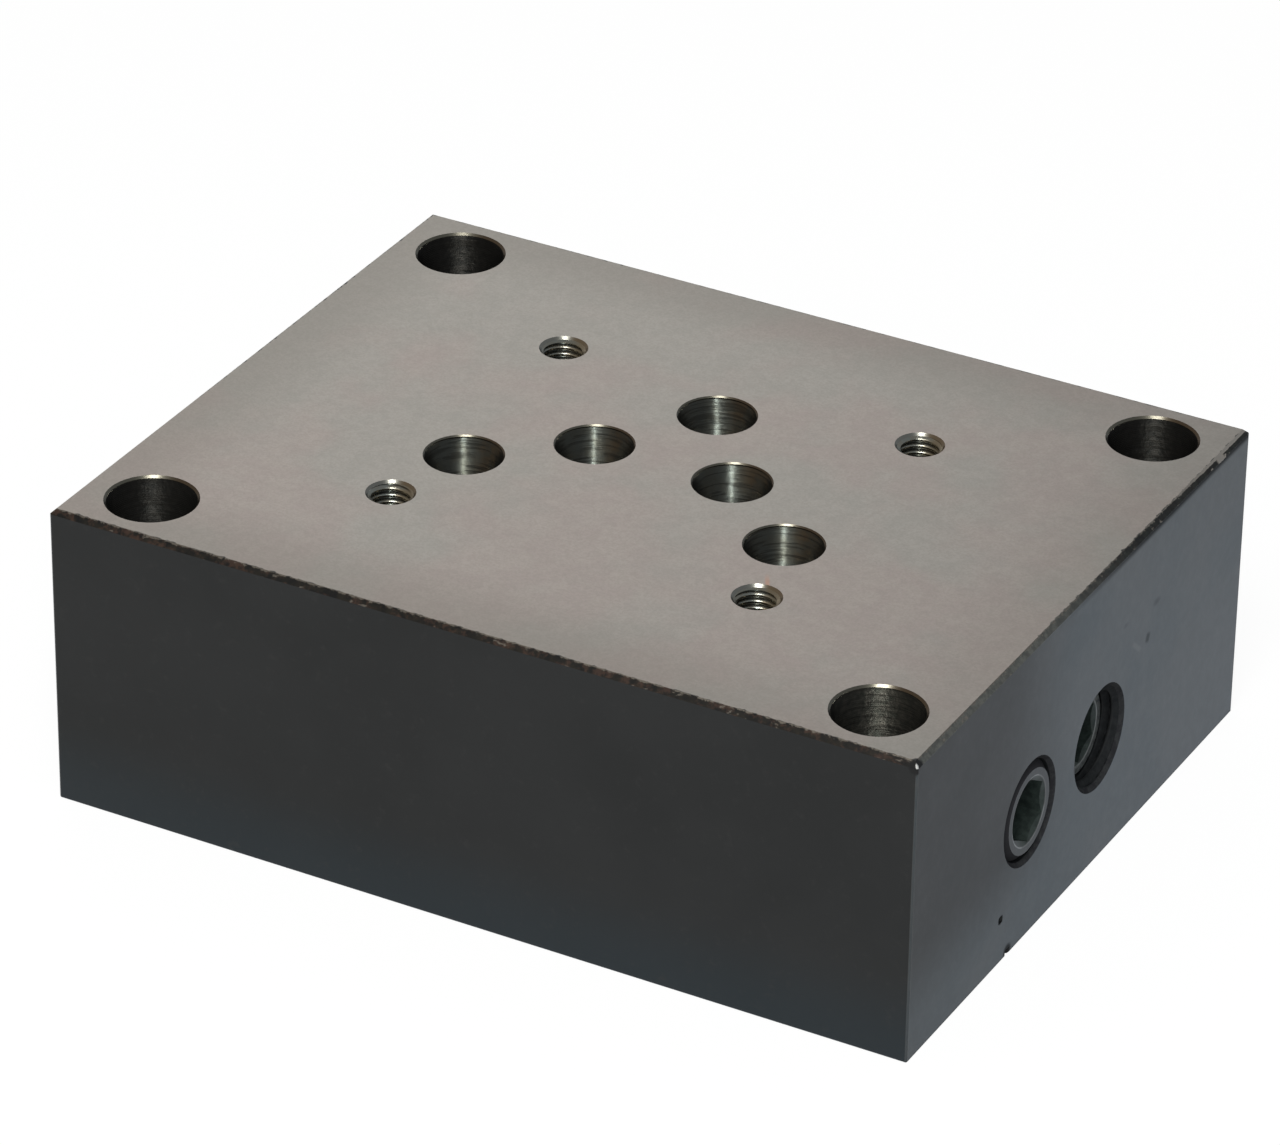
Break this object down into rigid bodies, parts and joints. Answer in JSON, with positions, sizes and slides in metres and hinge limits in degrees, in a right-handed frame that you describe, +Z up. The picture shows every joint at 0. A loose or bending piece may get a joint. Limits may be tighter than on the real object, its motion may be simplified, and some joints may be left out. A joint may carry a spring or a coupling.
{
  "type": "hydraulic valve subplate",
  "caption": "Flat steel block with a ground valve face of ports and tapped holes, corner fixing holes, pipe ports in the base and crossing oil galleries closed by socket plugs.",
  "frame": {"origin": "centre of the base", "axes": "+X along the block's length towards the end face with two plugs, +Y to the back, +Z up to the valve face"},
  "size_m": [0.126, 0.098, 0.044],
  "materials": {
    "block_steel": "ground bare top, dark oxide-finished sides",
    "plug_steel": "oiled dark steel with a worn bright face"
  },
  "bodies": {
    "root": {"subplate_block": "block_steel", "return_gallery_plug": "plug_steel", "port_a_gallery_plug": "plug_steel", "port_b_gallery_plug": "plug_steel"}
  },
  "joints": []
}
